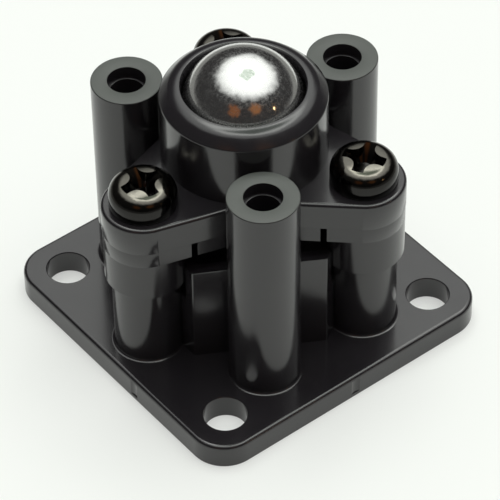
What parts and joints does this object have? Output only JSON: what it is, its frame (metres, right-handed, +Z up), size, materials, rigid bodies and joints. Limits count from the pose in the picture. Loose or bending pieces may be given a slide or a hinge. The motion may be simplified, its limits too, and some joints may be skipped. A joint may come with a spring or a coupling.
{
  "type": "ball transfer unit",
  "caption": "Small plastic ball transfer unit: a steel ball rolling on steel rollers in a screwed housing on a square plate with tall hollow mounting posts.",
  "frame": {"origin": "centre of the plate's bottom face", "axes": "+Z up through the ball, along the mounting holes; +X and +Y along the plate's sides, with one tall post at +Y"},
  "size_m": [0.031, 0.031, 0.0292],
  "materials": {
    "black_plastic": "moulded black plastic, satin to glossy, with fine flow marks",
    "polished_ball": "mirror polished bearing ball",
    "ground_steel": "ground steel rollers",
    "black_screw": "glossy black plated screws"
  },
  "bodies": {
    "housing": {"base": "black_plastic", "roller_holder": "black_plastic", "ball_cap": "black_plastic", "cap_screw_front": "black_screw", "cap_screw_right": "black_screw", "cap_screw_left": "black_screw"},
    "ball": {"ball": "polished_ball"},
    "roller_right": {"roller_right": "ground_steel"},
    "roller_rear": {"roller_rear": "ground_steel"},
    "roller_left": {"roller_left": "ground_steel"}
  },
  "joints": [
    {"name": "ball_roll", "type": "hinge", "parent": "housing", "child": "ball", "pos_m": [0, 0, 0.0237], "axis": [1, 0, 0], "continuous": true},
    {"name": "roller_right_spin", "type": "hinge", "parent": "housing", "child": "roller_right", "pos_m": [0.00363, -0.0021, 0.01871], "axis": [0.5, 0.866, 0], "continuous": true},
    {"name": "roller_rear_spin", "type": "hinge", "parent": "housing", "child": "roller_rear", "pos_m": [0, 0.00419, 0.01871], "axis": [-1, 0, 0], "continuous": true},
    {"name": "roller_left_spin", "type": "hinge", "parent": "housing", "child": "roller_left", "pos_m": [-0.00363, -0.0021, 0.01871], "axis": [0.5, -0.866, 0], "continuous": true}
  ],
  "couplings": [
    {"joint": "roller_right_spin", "follows": "ball_roll", "ratio": -2.75},
    {"joint": "roller_rear_spin", "follows": "ball_roll", "ratio": 5.5},
    {"joint": "roller_left_spin", "follows": "ball_roll", "ratio": -2.75}
  ]
}
